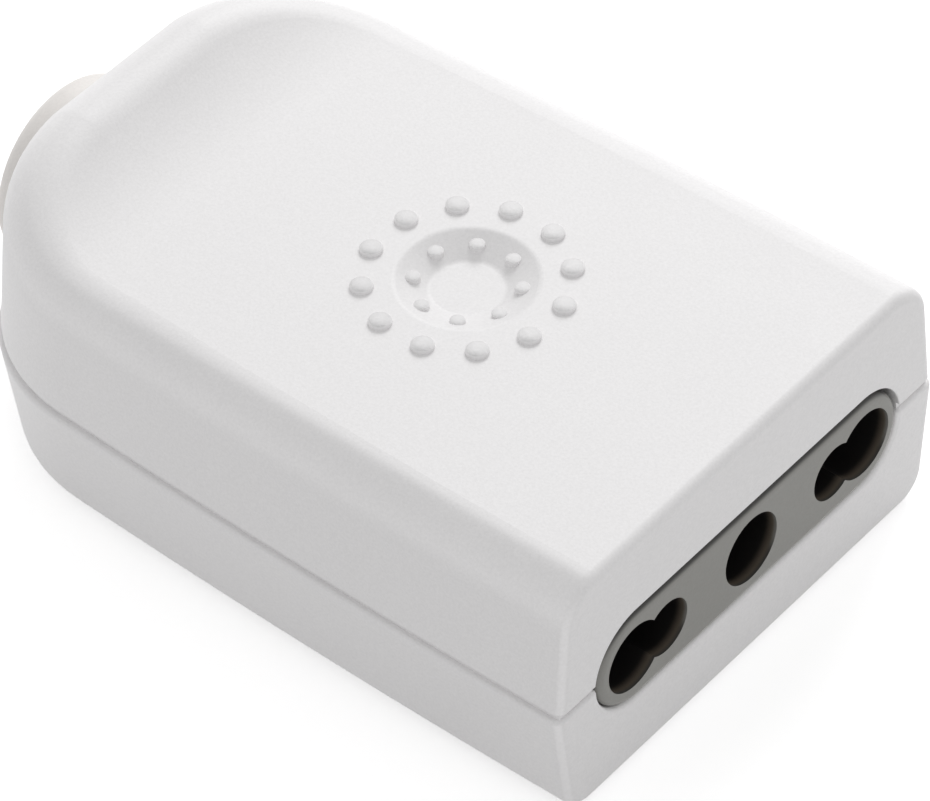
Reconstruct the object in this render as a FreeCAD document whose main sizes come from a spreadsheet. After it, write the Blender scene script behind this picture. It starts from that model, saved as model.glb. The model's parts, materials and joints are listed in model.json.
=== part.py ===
import FreeCAD, Part
import math
import os
import Sketcher
from FreeCAD import Vector

# In-line mains socket for 10 A and 16 A plugs, in millimetres.
# Casing frame: X across, Y back from the front face, Z up from the parting plane of the two shells.

DIMENSIONS = [
    # Pins of the plugs that the socket takes
    ("wide_spacing", 26.0, "line and neutral pins of a 16 A plug, centre to centre"),
    ("narrow_spacing", 19.0, "line and neutral pins of a 10 A plug, centre to centre"),
    ("wide_hole", 5.7, "hole for a 5 mm pin"),
    ("narrow_hole", 4.6, "hole for a 4 mm pin"),
    ("earth_hole", 5.8, "hole for the earth pin"),
    ("pin_length", 19.0, "reach of a plug's pins behind the front face"),
    # Casing
    ("body_length", 60.5, "front face to rear face"),
    ("side_land", 3.9, "front face beside the opening"),
    ("shell_step", 0.25, "upper shell inside the lower shell's outline"),
    ("lower_height", 10.2, "parting plane to underside"),
    ("upper_draft", 5.5, "draft of the upper shell in degrees"),
    ("lower_draft", 6.5, "draft of the lower shell in degrees"),
    ("side_bow", 765.0, "radius of the gently bowed long sides"),
    ("bow_place", 8.0, "front face to the widest place of the bowed sides"),
    ("rear_corner", 14.3, "radius of the rear corners in plan"),
    ("lip_length", 15.25, "rear face to the start of the upswept lip"),
    ("lip_sweep", 15.9, "radius of the hollow in front of the lip"),
    ("top_edge", 3.65, "rounding of the upper shell's long and rear edges"),
    ("bottom_edge", 2.5, "rounding of the lower shell's long and rear edges"),
    ("front_edge", 0.8, "rounding of the front face's rim"),
    ("seam_edge", 0.3, "rounding of the lower shell along the seam"),
    ("seam_gap", 0.65, "height of the shadow groove above the seam"),
    ("seam_depth", 0.35, "depth of the shadow groove"),
    ("wall", 2.0, "side and rear walls"),
    ("front_wall", 2.2, "wall around the opening"),
    ("roof", 2.2, "top wall"),
    ("base_wall", 2.0, "bottom wall"),
    # Thumb dish and raised dots on the upper shell
    ("dish_place", 25.2, "front face to the centre of the dish"),
    ("dish_rim", 5.2, "radius of the dish at its rim"),
    ("dish_floor", 2.8, "radius of the dish's flat floor"),
    ("dish_depth", 1.0, "depth of the dish"),
    ("dish_round", 0.9, "rounding of the dish's rim and floor"),
    ("ring_radius", 7.45, "circle of the outer dots"),
    ("ring_turn", 15.0, "first outer dot from the X axis in degrees"),
    ("dot_radius", 0.86, "outer dot"),
    ("dot_height", 0.61, "outer dot above the flat top"),
    ("dot_crown", 0.36, "domed part of an outer dot's height"),
    ("small_ring_radius", 3.92, "circle of the inner dots"),
    ("small_ring_turn", 29.5, "first inner dot from the X axis in degrees"),
    ("small_dot_radius", 0.57, "inner dot"),
    ("small_dot_sink", 0.1, "top of an inner dot below the flat top"),
    ("small_dot_crown", 0.22, "domed part of an inner dot's height"),
    # Grey insert
    ("insert_rim", 1.05, "insert past the outermost holes"),
    ("insert_height", 8.3, "insert across its flat sides"),
    ("insert_gap", 0.35, "gap between the insert and the upper shell"),
    ("insert_edge", 0.65, "rounding of the insert's face"),
    ("upper_rim", 0.12, "rounding of the opening in the upper shell"),
    ("lower_rim", 0.4, "rounding of the opening in the lower shell"),
    ("flange_overhang", 0.8, "flange past the insert's sides"),
    ("flange_thick", 2.0, "flange behind the front wall"),
    ("guide_depth", 5.0, "front face to the contacts"),
    ("carrier_depth", 15.0, "front face to the back of the insert"),
    # Contacts, springs and terminals
    ("metal", 0.5, "contact strip"),
    ("contact_grip", 0.2, "contact's bore inside its guide hole's radius"),
    ("contact_slit", 1.0, "slit that lets a contact open"),
    ("tail_rise", 0.28, "edges of a contact's tail above its hollow"),
    ("spring_metal", 0.4, "spring clip strip"),
    ("spring_length", 3.0, "spring clip along the contact"),
    ("spring_gap", 1.6, "mouth of the spring clip"),
    ("block_width", 6.6, "terminal block across"),
    ("block_length", 7.0, "terminal block along the socket"),
    ("block_height", 7.0, "terminal block"),
    ("wire_bore", 3.4, "hole for the wire"),
    ("cradle_wall", 0.9, "side wall of a terminal's cradle"),
    ("cradle_grip", 1.2, "height of a terminal held by its cradle"),
    ("head_room", 2.27, "terminal screws to the roof"),
    # Screws
    ("screw_radius", 1.5, "shank of every screw"),
    ("screw_head", 2.75, "radius of every screw's head"),
    ("head_height", 2.0, "height of every screw's head"),
    ("slot_width", 0.8, "driver slot"),
    ("slot_depth", 1.0, "driver slot"),
    ("boss_wall", 1.4, "plastic round a screw or its head"),
    ("boss_inset", 3.9, "shell screws from the inside of the side wall"),
    ("boss_place", 34.0, "front face to the shell screws"),
    ("screw_recess", 4.5, "underside to the seat of a shell screw's head"),
    ("screw_bite", 6.5, "shell screw in the upper shell"),
    # Cable entry
    ("cable_bore", 8.0, "hole for the cable"),
    ("collar_reach", 4.45, "collar behind the rear face"),
    ("collar_radius", 7.75, "collar outside the casing"),
    ("collar_edge", 1.55, "rounding of the collar's end"),
    ("collar_neck", 5.6, "collar in the rear wall"),
    ("collar_flange", 1.8, "thickness of the collar inside the rear wall"),
    ("collar_lip", 1.0, "collar past its neck inside the rear wall"),
    ("clamp_setback", 4.0, "collar to the cable clamp"),
    ("clamp_length", 6.0, "clamp along the cable"),
    ("clamp_thick", 2.5, "clamp strip"),
    ("clamp_drop", 1.0, "clamp's feet below the cable's middle"),
    ("clamp_bite", 5.0, "clamp screw in its post"),
    ("fit", 0.1, "clearance between pieces that fit together"),
]

# Values worked out from the sheet
WIDE_X = "dims.wide_spacing / 2"
NARROW_X = "dims.narrow_spacing / 2"
INSERT_HALF = "(dims.wide_spacing / 2 + dims.wide_hole / 2 + dims.insert_rim)"
INSERT_TALL = "dims.insert_height / 2"
UPPER_HALF = f"({INSERT_HALF} + dims.insert_gap + dims.side_land)"
LOWER_HALF = f"({UPPER_HALF} + dims.shell_step)"
LOWER_REAR = "dims.body_length"
UPPER_REAR = "(dims.body_length - dims.shell_step)"
OVERALL = "(dims.body_length + dims.collar_reach)"
BOSS_SIDE = f"({LOWER_HALF} - dims.wall - dims.boss_inset)"
TAIL_TOP = "(dims.wide_hole / 2 - dims.contact_grip - dims.tail_rise)"
BLOCK_BASE = f"(dims.fit - {TAIL_TOP})"
BLOCK_TOP = f"({BLOCK_BASE} + dims.block_height)"
UPPER_HEIGHT = f"({BLOCK_TOP} + dims.head_height + dims.head_room + dims.roof)"
CEILING = f"({UPPER_HEIGHT} - dims.roof)"
GROUND = "(dims.base_wall - dims.lower_height)"
CONTACT_FRONT = "(dims.guide_depth + dims.fit)"
CONTACT_BACK = "(dims.pin_length + dims.metal)"
BLOCK_FRONT = f"({CONTACT_BACK} + dims.metal + dims.fit)"
BLOCK_BACK = f"({BLOCK_FRONT} + dims.block_length)"
LIP_START = f"({UPPER_REAR} - dims.lip_length)"
HEAD_SEAT = "(dims.screw_recess - dims.lower_height)"
NECK_FRONT = f"({UPPER_REAR} - dims.wall - dims.fit)"
NECK_BACK = f"({LOWER_REAR} + dims.fit)"
COLLAR_FRONT = f"({NECK_FRONT} - dims.collar_flange)"
CLAMP_BACK = f"({COLLAR_FRONT} - dims.clamp_setback)"
CLAMP_MIDDLE = f"({CLAMP_BACK} - dims.clamp_length / 2)"
CLAMP_FEET = "(-dims.clamp_drop)"
CLAMP_INNER = "(dims.cable_bore / 2 + dims.fit)"
CLAMP_OUTER = f"({CLAMP_INNER} + dims.clamp_thick)"
CLAMP_SIDE = f"({CLAMP_OUTER} + dims.screw_head + dims.fit)"
THREAD_RADIUS = "(dims.screw_radius + dims.fit)"
RECESS_RADIUS = "(dims.screw_head + dims.fit)"
POST_RADIUS = "(dims.screw_radius + dims.boss_wall)"

# Places of like pieces, counts of dots, and how near an edge must lie to count as on a plane
BOSS_SPOTS = [(BOSS_SIDE, "dims.boss_place"), (f"-{BOSS_SIDE}", "dims.boss_place")]
CLAMP_SPOTS = [(CLAMP_SIDE, CLAMP_MIDDLE), (f"-{CLAMP_SIDE}", CLAMP_MIDDLE)]
TERMINALS = [
    ("line", WIDE_X, "dims.wide_hole"),
    ("neutral", f"-{WIDE_X}", "dims.wide_hole"),
    ("earth", "0", "dims.earth_hole"),
]
RING_DOTS = 12
SMALL_RING_DOTS = 8
NEAR = 0.01

doc = FreeCAD.newDocument("in_line_socket")
sheet = doc.addObject("Spreadsheet::Sheet", "dims")
sub_parts = []


def fill_sheet():
    """Write each driving dimension, its alias and its note into the sheet."""
    for row, (alias, size, note) in enumerate(DIMENSIONS, start=1):
        sheet.set(f"A{row}", note)
        sheet.set(f"B{row}", str(size))
        sheet.setAlias(f"B{row}", alias)
    doc.recompute()


def value(expression):
    """Number that an expression on the sheet gives."""
    return float(sheet.evalExpression(expression))


def new_body(label):
    """Empty body for one sub-part, named for its piece."""
    body = doc.addObject("PartDesign::Body", label)
    body.Label = label
    sub_parts.append(body)
    return body


def place(body, x="0", y="0", z="0"):
    """Move a sub-part from the casing frame, or its own, to the part's frame on its underside."""
    body.setExpression("Placement.Base.x", x)
    body.setExpression("Placement.Base.y", f"{y} - {OVERALL} / 2")
    body.setExpression("Placement.Base.z", f"{z} + dims.lower_height")


def sketch_on(body, plane, name, offset):
    """Sketch on one of the body's own planes, moved in that plane's axes by expressions."""
    sketch = body.newObject("Sketcher::SketchObject", f"{body.Label}_{name}")
    support = next(item for item in body.Origin.OriginFeatures if item.Role == plane)
    sketch.AttachmentSupport = [(support, "")]
    sketch.MapMode = "FlatFace"
    for axis, expression in zip("xyz", offset):
        sketch.setExpression(f"AttachmentOffset.Base.{axis}", expression)
    return sketch


def plan_sketch(body, name, z="0"):
    """Sketch seen from above: X across, Y back."""
    return sketch_on(body, "XY_Plane", name, ("0", "0", z))


def front_sketch(body, name, y="0"):
    """Sketch seen from the front: X across, Z up; its normal points at the viewer."""
    return sketch_on(body, "XZ_Plane", name, ("0", "0", f"-({y})"))


def side_sketch(body, name, x="0", y="0", z="0"):
    """Sketch seen from the right: Y back, Z up, with its own origin at a point."""
    return sketch_on(body, "YZ_Plane", name, (y, z, x))


def bind(sketch, kind, geometry, spot, expression):
    """Hold one coordinate of a point, or a radius, to an expression."""
    size = value(expression)
    if kind == "Radius":
        constraint = Sketcher.Constraint(kind, geometry, size)
    else:
        constraint = Sketcher.Constraint(kind, -1, 1, geometry, spot, size)
    index = sketch.addConstraint(constraint)
    sketch.setExpression(f"Constraints[{index}]", expression)


def pin(sketch, geometry, spot, x, y):
    """Hold a point of the sketch to two expressions."""
    bind(sketch, "DistanceX", geometry, spot, x)
    bind(sketch, "DistanceY", geometry, spot, y)


def circles(sketch, *rounds):
    """Draw circles given as x, y and radius."""
    for x, y, radius in rounds:
        centre = Vector(value(x), value(y), 0)
        index = sketch.addGeometry(Part.Circle(centre, Vector(0, 0, 1), value(radius)))
        pin(sketch, index, 3, x, y)
        bind(sketch, "Radius", index, 0, radius)


def outline(sketch, corners):
    """Draw a closed outline through corners given as x and y.

    A third entry bends the edge that follows: (x, y, turn) of the arc's centre, where turn is
    left or right as the edge goes round it.
    """
    points = [Vector(value(corner[0]), value(corner[1]), 0) for corner in corners]
    first = sketch.GeometryCount
    ends = []
    for number, corner in enumerate(corners):
        start = points[number]
        stop = points[(number + 1) % len(points)]
        if len(corner) == 2:
            sketch.addGeometry(Part.LineSegment(start, stop))
            ends.append((1, 2))
            continue
        x, y, turn = corner[2]
        centre = Vector(value(x), value(y), 0)
        circle = Part.Circle(centre, Vector(0, 0, 1), (start - centre).Length)
        low, high = (start, stop) if turn == "left" else (stop, start)
        angles = [math.atan2(point.y - centre.y, point.x - centre.x) for point in (low, high)]
        index = sketch.addGeometry(Part.ArcOfCircle(circle, angles[0], angles[1]))
        ends.append((1, 2) if turn == "left" else (2, 1))
        chord = stop - start
        if abs(chord.x) >= abs(chord.y):
            bind(sketch, "DistanceY", index, 3, y)
        else:
            bind(sketch, "DistanceX", index, 3, x)
    for number, corner in enumerate(corners):
        after = (number + 1) % len(corners)
        leaving = (first + number, ends[number][1])
        arriving = (first + after, ends[after][0])
        sketch.addConstraint(Sketcher.Constraint("Coincident", *leaving, *arriving))
        pin(sketch, first + number, ends[number][0], corner[0], corner[1])


def rectangle(sketch, left, right, low, high):
    """Draw a rectangle between four lines."""
    outline(sketch, [(left, low), (right, low), (right, high), (left, high)])


def stadium(sketch, half, tall, x="0"):
    """Draw a slot shape with round ends, half its length and half its height given."""
    ends = [f"{x} - ({half} - {tall})", f"{x} + {half} - {tall}"]
    outline(sketch, [
        (ends[0], f"-({tall})"),
        (ends[1], f"-({tall})", (ends[1], "0", "left")),
        (ends[1], f"{tall}"),
        (ends[0], f"{tall}", (ends[0], "0", "left")),
    ])


def feature(body, kind, name, profile, grows, **settings):
    """Add a sketched feature, and make sure that it adds or removes material as it should."""
    before = body.Shape.Volume if body.Tip else 0.0
    item = body.newObject(f"PartDesign::{kind}", f"{body.Label}_{name}")
    item.Profile = profile
    for setting, wanted in settings.items():
        if isinstance(wanted, str) and setting not in ("Type", "SideType"):
            item.setExpression(setting, wanted)
        else:
            setattr(item, setting, wanted)
    doc.recompute()
    if (item.Shape.Volume > before) != grows:
        raise RuntimeError(f"{item.Label} changes the volume the wrong way")
    return item


def pad(body, name, profile, length, back=False):
    """Extrude a sketch along its normal, or against it."""
    return feature(body, "Pad", name, profile, True, Length=length, Reversed=back)


def pocket(body, name, profile, length, back=False):
    """Cut a sketch against its normal, or along it."""
    return feature(body, "Pocket", name, profile, False, Length=length, Reversed=back)


def turned(body, name, profile, axis, grows=True):
    """Revolve a sketch round one of its own axes, as material or as a cut."""
    kind = "Revolution" if grows else "Groove"
    return feature(body, kind, name, profile, grows, ReferenceAxis=(profile, [axis]), Angle=360.0)


def round_edges(body, name, radius, wanted):
    """Fillet the edges of the body that a test picks."""
    base = body.Tip
    edges = [f"Edge{number}" for number, edge in enumerate(base.Shape.Edges, start=1) if wanted(edge)]
    if not edges:
        raise RuntimeError(f"{body.Label} has no edges for {name}")
    item = body.newObject("PartDesign::Fillet", f"{body.Label}_{name}")
    item.Base = (base, edges)
    item.setExpression("Radius", radius)
    doc.recompute()
    return item


def repeat_round(body, name, original, axis_sketch, count):
    """Copy a feature evenly round the upright axis of a sketch."""
    item = body.newObject("PartDesign::PolarPattern", f"{body.Label}_{name}")
    item.Originals = [original]
    item.Axis = (axis_sketch, ["V_Axis"])
    item.Angle = 360.0
    item.Occurrences = count
    body.Tip = item
    doc.recompute()
    return item


def casing_plan(sketch, half, rear, corner, inset="0", front="0"):
    """Draw the casing's plan: straight front, bowed sides, round rear corners, drawn in by an inset."""
    bow = f"(dims.side_bow - {inset})"
    bow_x = f"({half} - dims.side_bow)"
    corner_y = f"({rear} - {corner})"
    slope = f"(({corner_y} - dims.bow_place) / (dims.side_bow - {corner}))"
    corner_x = f"({bow_x} + (dims.side_bow - {corner}) * sqrt(1 - {slope}^2))"
    join_x = f"({bow_x} + {bow} * sqrt(1 - {slope}^2))"
    join_y = f"(dims.bow_place + {bow} * {slope})"
    front_x = f"({bow_x} + sqrt({bow}^2 - (dims.bow_place - ({front}))^2))"
    back = f"({rear} - {inset})"
    outline(sketch, [
        (f"-{front_x}", front),
        (front_x, front, (bow_x, "dims.bow_place", "left")),
        (join_x, join_y, (corner_x, corner_y, "left")),
        (corner_x, back),
        (f"-{corner_x}", back, (f"-{corner_x}", corner_y, "left")),
        (f"-{join_x}", join_y, (f"-{bow_x}", "dims.bow_place", "left")),
    ])


def casing_block(body, half, rear, corner, height, draft, way):
    """Drafted solid block of one shell, from the parting plane up (way 1) or down (way -1)."""
    seam = plan_sketch(body, "seam_plan")
    casing_plan(seam, half, rear, corner)
    end = plan_sketch(body, "end_plan", f"{way} * ({height})")
    casing_plan(end, half, rear, corner, f"({height}) * tan({draft} * 1deg)")
    feature(body, "AdditiveLoft", "block", seam, True, Sections=[end], Ruled=True)


def off_seam(edge):
    """How far an edge goes from the parting plane."""
    return max(abs(edge.BoundBox.ZMin), abs(edge.BoundBox.ZMax))


def open_front(body, gap, rim):
    """Opening for the insert, and the soft edges of the front face and of the opening."""

    def on_front(edge):
        return edge.BoundBox.YMax < NEAR and off_seam(edge) > NEAR

    round_edges(body, "front_rim", "dims.front_edge", on_front)
    opening = front_sketch(body, "opening_outline")
    stadium(opening, f"({INSERT_HALF} + {gap})", f"({INSERT_TALL} + {gap})")
    pocket(body, "opening", opening, "dims.front_wall")
    half = value(f"{INSERT_HALF} + {gap}")
    tall = value(f"{INSERT_TALL} + {gap}")

    def on_opening(edge):
        box = edge.BoundBox
        inside = box.XMin > -half - NEAR and box.XMax < half + NEAR
        return on_front(edge) and inside and off_seam(edge) < tall + NEAR

    round_edges(body, "opening_rim", rim, on_opening)


def shadow_groove(body, half, rear, corner):
    """Groove cut round the upper shell just above the seam."""
    groove = plan_sketch(body, "groove_plan")
    casing_plan(groove, half, rear, corner, "-dims.wall", "-dims.wall")
    casing_plan(groove, half, rear, corner, "dims.seam_depth", "dims.seam_depth")
    pocket(body, "groove", groove, "dims.seam_gap", True)


def hollow_out(body, half, rear, corner, depth, way):
    """Inside of one shell, and half of the round hole for the collar in its rear wall."""
    inside = plan_sketch(body, "inside_plan")
    casing_plan(inside, half, rear, corner, "dims.wall", "dims.front_wall")
    pocket(body, "inside", inside, depth, way > 0)
    hole = front_sketch(body, "cable_hole_outline", f"{rear} + dims.wall")
    circles(hole, ("0", "0", "dims.collar_neck + dims.fit"))
    pocket(body, "cable_hole", hole, "3 * dims.wall", True)


def screw_bosses(body, name, spots, radius, low, high):
    """Round posts for screws between two heights."""
    posts = plan_sketch(body, f"{name}_outline", low)
    circles(posts, *[(x, y, radius) for x, y in spots])
    pad(body, name, posts, f"{high} - ({low})")


def screw_holes(body, name, spots, radius, low, high):
    """Round holes for screws, cut up from a height."""
    holes = plan_sketch(body, f"{name}_outline", low)
    circles(holes, *[(x, y, radius) for x, y in spots])
    pocket(body, name, holes, f"{high} - ({low})", True)


def raised_dots(body, name, axis_sketch, ring, turn, radius, low, high, crown, count):
    """Ring of small domed dots about the dish."""
    x = f"{ring} * cos({turn} * 1deg)"
    y = f"dims.dish_place + {ring} * sin({turn} * 1deg)"
    dot = side_sketch(body, f"{name}_profile", x, y)
    dome_centre = f"{high} - ({radius}^2 + {crown}^2) / (2 * {crown})"
    outline(dot, [
        ("0", low),
        (radius, low),
        (radius, f"{high} - {crown}", ("0", dome_centre, "left")),
        ("0", high),
    ])
    first = turned(body, f"{name}_first", dot, "V_Axis")
    repeat_round(body, name, first, axis_sketch, count)


def thumb_dish(body):
    """Round dish in the flat top, with a ring of dots round it and another on its slope."""
    top = UPPER_HEIGHT
    dish = side_sketch(body, "dish_profile", "0", "dims.dish_place")
    outline(dish, [
        ("0", f"{top} - dims.dish_depth"),
        ("dims.dish_floor", f"{top} - dims.dish_depth"),
        ("dims.dish_rim", top),
        ("dims.dish_rim", f"{top} + dims.dish_depth"),
        ("0", f"{top} + dims.dish_depth"),
    ])
    turned(body, "dish", dish, "V_Axis", False)
    centre = Vector(0, value("dims.dish_place"), 0)
    floor = value(f"{top} - dims.dish_depth")
    rim = value("dims.dish_rim")

    def round_the_dish(edge):
        box = edge.BoundBox
        middle = Vector(box.Center.x, box.Center.y, 0)
        at_dish = (middle - centre).Length < NEAR and box.XLength < 2 * rim + NEAR
        return at_dish and box.ZMin > floor - NEAR and box.ZLength < NEAR

    round_edges(body, "dish_edges", "dims.dish_round", round_the_dish)
    raised_dots(body, "dots", dish, "dims.ring_radius", "dims.ring_turn", "dims.dot_radius",
                f"{top} - dims.dot_height", f"{top} + dims.dot_height", "dims.dot_crown", RING_DOTS)
    raised_dots(body, "small_dots", dish, "dims.small_ring_radius", "dims.small_ring_turn",
                "dims.small_dot_radius", f"{top} - dims.dish_depth", f"{top} - dims.small_dot_sink",
                "dims.small_dot_crown", SMALL_RING_DOTS)


def make_upper_shell():
    """Upper half of the casing: flat top, dish with dots, lip swept up at the rear."""
    body = new_body("upper_shell")
    corner = "(dims.rear_corner - dims.shell_step)"
    above = f"{UPPER_HEIGHT} + dims.lip_sweep"
    casing_block(body, UPPER_HALF, UPPER_REAR, corner, above, "dims.upper_draft", 1)
    beyond = "-dims.wall"
    profile = side_sketch(body, "top_profile")
    outline(profile, [
        (beyond, UPPER_HEIGHT),
        (LIP_START, UPPER_HEIGHT, (LIP_START, above, "left")),
        (f"{LIP_START} + dims.lip_sweep", above),
        (f"{LIP_START} + dims.lip_sweep", f"{above} + dims.wall"),
        (beyond, f"{above} + dims.wall"),
    ])
    feature(body, "Pocket", "top", profile, False, Type="ThroughAll", SideType="Symmetric")
    flat = value(UPPER_HEIGHT)
    start = value(LIP_START)

    def on_top_rim(edge):
        box = edge.BoundBox
        across = abs(box.YMin - start) < NEAR and abs(box.YMax - start) < NEAR
        return box.ZMin > flat - NEAR and box.YMax > NEAR and not across

    round_edges(body, "top_rim", "dims.top_edge", on_top_rim)
    open_front(body, "dims.insert_gap", "dims.upper_rim")
    shadow_groove(body, UPPER_HALF, UPPER_REAR, corner)
    hollow_out(body, UPPER_HALF, UPPER_REAR, corner, CEILING, 1)
    screw_bosses(body, "bosses", BOSS_SPOTS, POST_RADIUS, "0", f"{CEILING} + dims.fit")
    screw_holes(body, "boss_holes", BOSS_SPOTS, THREAD_RADIUS, "0", "dims.screw_bite + dims.fit")
    thumb_dish(body)
    place(body)


def contact_bore(hole):
    """Radius of a contact's inside, a little under its guide hole's, so that it grips the pin."""
    return f"({hole} / 2 - dims.contact_grip)"


def contact_outer(hole):
    """Radius of a contact's outside."""
    return f"({contact_bore(hole)} + dims.metal)"


def cradle(body, name, x, hole):
    """Stepped seat for a terminal block on the floor, with a groove for the contact's tail."""
    inner = "(dims.block_width / 2 + dims.fit)"
    outer = f"({inner} + dims.cradle_wall)"
    groove = f"(sqrt({contact_outer(hole)}^2 - {TAIL_TOP}^2) + dims.fit)"
    groove_floor = f"(-{contact_outer(hole)} - dims.fit)"
    grip = f"({BLOCK_BASE} + dims.cradle_grip)"
    low = f"({GROUND} - dims.fit)"
    steps = [
        (outer, low),
        (outer, grip),
        (inner, grip),
        (inner, BLOCK_BASE),
        (groove, BLOCK_BASE),
        (groove, groove_floor),
    ]
    right = [(f"{x} + {across}", height) for across, height in steps]
    left = [(f"{x} - {across}", height) for across, height in reversed(steps)]
    profile = front_sketch(body, f"{name}_profile", BLOCK_FRONT)
    outline(profile, right + left)
    pad(body, name, profile, "dims.block_length", True)


def make_lower_shell():
    """Lower half of the casing: flat underside, seats for the terminals, posts for the screws."""
    body = new_body("lower_shell")
    corner = "dims.rear_corner"
    casing_block(body, LOWER_HALF, LOWER_REAR, corner, "dims.lower_height", "dims.lower_draft", -1)
    under = -value("dims.lower_height")

    def on_bottom_rim(edge):
        return edge.BoundBox.ZMax < under + NEAR and edge.BoundBox.YMax > NEAR

    round_edges(body, "bottom_rim", "dims.bottom_edge", on_bottom_rim)
    open_front(body, "dims.fit", "dims.lower_rim")
    round_edges(body, "seam", "dims.seam_edge", lambda edge: off_seam(edge) < NEAR)
    hollow_out(body, LOWER_HALF, LOWER_REAR, corner, f"-{GROUND}", -1)
    for name, x, hole in TERMINALS:
        cradle(body, f"{name}_cradle", x, hole)
    low = f"({GROUND} - dims.fit)"
    clamp_hole_end = f"{CLAMP_FEET} - dims.clamp_bite - dims.fit"
    screw_bosses(body, "bosses", BOSS_SPOTS, f"{RECESS_RADIUS} + dims.boss_wall", low, "0")
    screw_bosses(body, "clamp_posts", CLAMP_SPOTS, POST_RADIUS, low, CLAMP_FEET)
    screw_holes(body, "clamp_holes", CLAMP_SPOTS, THREAD_RADIUS, clamp_hole_end, CLAMP_FEET)
    screw_holes(body, "head_recesses", BOSS_SPOTS, RECESS_RADIUS, "-dims.lower_height", HEAD_SEAT)
    screw_holes(body, "screw_holes", BOSS_SPOTS, THREAD_RADIUS, HEAD_SEAT, "0")
    place(body)


def paired(x, radius):
    """Two like circles, one each side of the middle."""
    return [(x, "0", radius), (f"-{x}", "0", radius)]


def make_insert():
    """Grey insert: slot-shaped face, five pin holes, flange behind the wall, room for the contacts."""
    body = new_body("socket_insert")
    face = front_sketch(body, "face_outline")
    stadium(face, INSERT_HALF, INSERT_TALL)
    pad(body, "carrier", face, "dims.carrier_depth", True)
    round_edges(body, "face_rim", "dims.insert_edge", lambda edge: edge.BoundBox.YMax < NEAR)
    flange = front_sketch(body, "flange_outline", "dims.front_wall + dims.fit")
    stadium(flange, f"({INSERT_HALF} + dims.flange_overhang)", f"({INSERT_TALL} + dims.flange_overhang)")
    pad(body, "flange", flange, "dims.flange_thick", True)
    for name, x in (("wide", WIDE_X), ("narrow", NARROW_X), ("earth", "0")):
        radius = f"dims.{name}_hole / 2"
        room = f"{contact_outer(f'dims.{name}_hole')} + dims.fit"
        guide = front_sketch(body, f"{name}_guide_outline")
        hollow = front_sketch(body, f"{name}_hollow_outline", "dims.guide_depth")
        if name == "earth":
            circles(guide, (x, "0", radius))
            circles(hollow, (x, "0", room))
        else:
            circles(guide, *paired(x, radius))
            circles(hollow, *paired(x, room))
        pocket(body, f"{name}_guide", guide, "dims.guide_depth")
        pocket(body, f"{name}_hollow", hollow, "dims.carrier_depth - dims.guide_depth")
    place(body)


def side_sign(x):
    """1 on the right of the middle, -1 on the left and in the middle."""
    return 1 if value(x) > 0 else -1


def make_contact(name, x, hole):
    """Folded contact: a slit tube for each pin, and a tail that runs under the terminal block."""
    body = new_body(f"{name}_contact")
    sign = side_sign(x)
    bores = [(x, hole)]
    if name != "earth":
        bores.append((f"{sign} * {NARROW_X}", "dims.narrow_hole"))
    lengths = [f"{BLOCK_BACK} - {CONTACT_FRONT}", f"{CONTACT_BACK} - {CONTACT_FRONT}"]
    for number, (middle, guide) in enumerate(bores):
        tube = front_sketch(body, f"tube_{number}_outline", CONTACT_FRONT)
        circles(tube, (middle, "0", contact_outer(guide)))
        pad(body, f"tube_{number}", tube, lengths[number], True)
    for number, (middle, guide) in enumerate(bores):
        bore = front_sketch(body, f"bore_{number}_outline", CONTACT_FRONT)
        circles(bore, (middle, "0", contact_bore(guide)))
        pocket(body, f"bore_{number}", bore, lengths[0])
    reach = f"({contact_outer(hole)} + dims.metal)"
    above = front_sketch(body, "above_tail_outline", CONTACT_BACK)
    rectangle(above, f"{x} - {reach}", f"{x} + {reach}", f"-{TAIL_TOP}", reach)
    pocket(body, "above_tail", above, f"{BLOCK_BACK} - {CONTACT_BACK}")
    slit = front_sketch(body, "slit_outline", CONTACT_FRONT)
    edges = sorted([x, f"{x} + {sign} * {reach}"], key=value)
    rectangle(slit, edges[0], edges[1], "-dims.contact_slit / 2", "dims.contact_slit / 2")
    pocket(body, "slit", slit, f"{CONTACT_BACK} - {CONTACT_FRONT}")
    place(body)


def make_contact_spring(name, x, hole):
    """Steel clip that closes round a contact behind the insert."""
    body = new_body(f"{name}_contact_spring")
    sign = side_sign(x)
    inner = f"({contact_outer(hole)} + dims.fit)"
    outer = f"({inner} + dims.spring_metal)"
    start = "dims.carrier_depth + dims.fit"
    clip = front_sketch(body, "clip_outline", start)
    if name == "earth":
        middle = x
        half_gap = "0"
        circles(clip, (x, "0", inner), (x, "0", outer))
    else:
        half_gap = f"(({WIDE_X} - {NARROW_X}) / 2)"
        middle = f"({x} - {sign} * {half_gap})"
        stadium(clip, f"({half_gap} + {inner})", inner, middle)
        stadium(clip, f"({half_gap} + {outer})", outer, middle)
    pad(body, "clip", clip, "dims.spring_length", True)
    mouth = front_sketch(body, "mouth_outline", start)
    edges = sorted([middle, f"{middle} + {sign} * ({half_gap} + 2 * {outer})"], key=value)
    rectangle(mouth, edges[0], edges[1], "-dims.spring_gap / 2", "dims.spring_gap / 2")
    pocket(body, "mouth", mouth, "dims.spring_length")
    place(body)


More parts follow.
